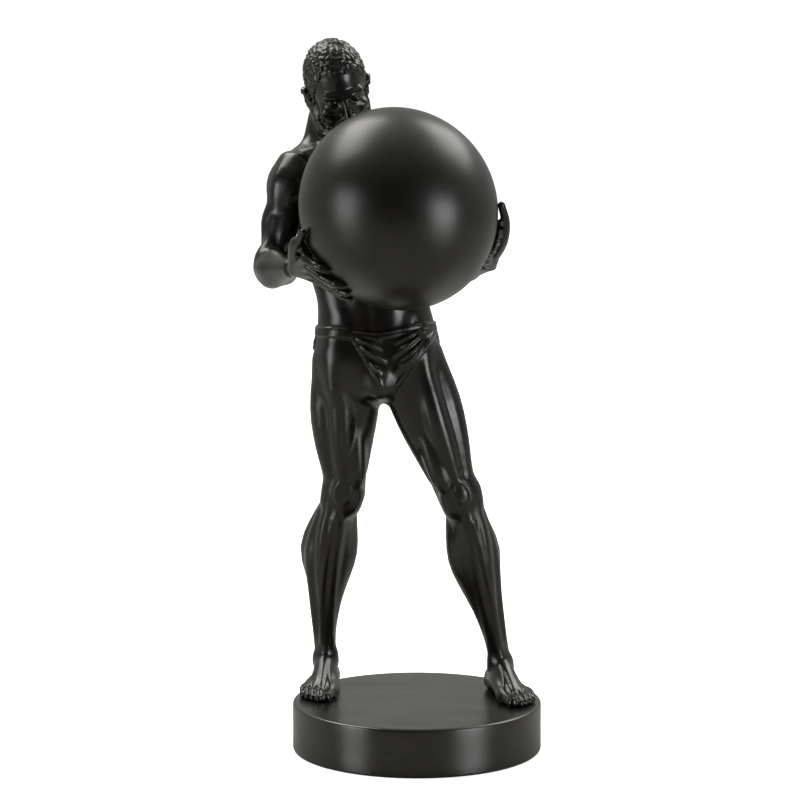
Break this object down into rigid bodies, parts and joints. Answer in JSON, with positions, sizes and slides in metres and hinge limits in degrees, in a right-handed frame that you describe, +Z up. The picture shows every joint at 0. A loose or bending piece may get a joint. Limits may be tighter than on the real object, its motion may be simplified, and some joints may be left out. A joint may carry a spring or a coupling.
{
  "type": "statuette",
  "caption": "Black cast resin statuette on a round plinth: a muscular bearded man in briefs leans back and holds a large smooth ball against his chest.",
  "frame": {"origin": "centre of the round plinth's flat underside", "axes": "+Z up along the figure, -Y towards the viewer the figure faces, +X to that viewer's right"},
  "size_m": [0.1614, 0.1711, 0.3988],
  "materials": {
    "figure resin": "satin black varnish over cast polyresin",
    "ball resin": "smooth satin black varnish over cast polyresin",
    "plinth resin": "satin black varnish over cast polyresin"
  },
  "bodies": {
    "root": {"figure": "figure resin", "ball": "ball resin", "plinth": "plinth resin"}
  },
  "joints": []
}
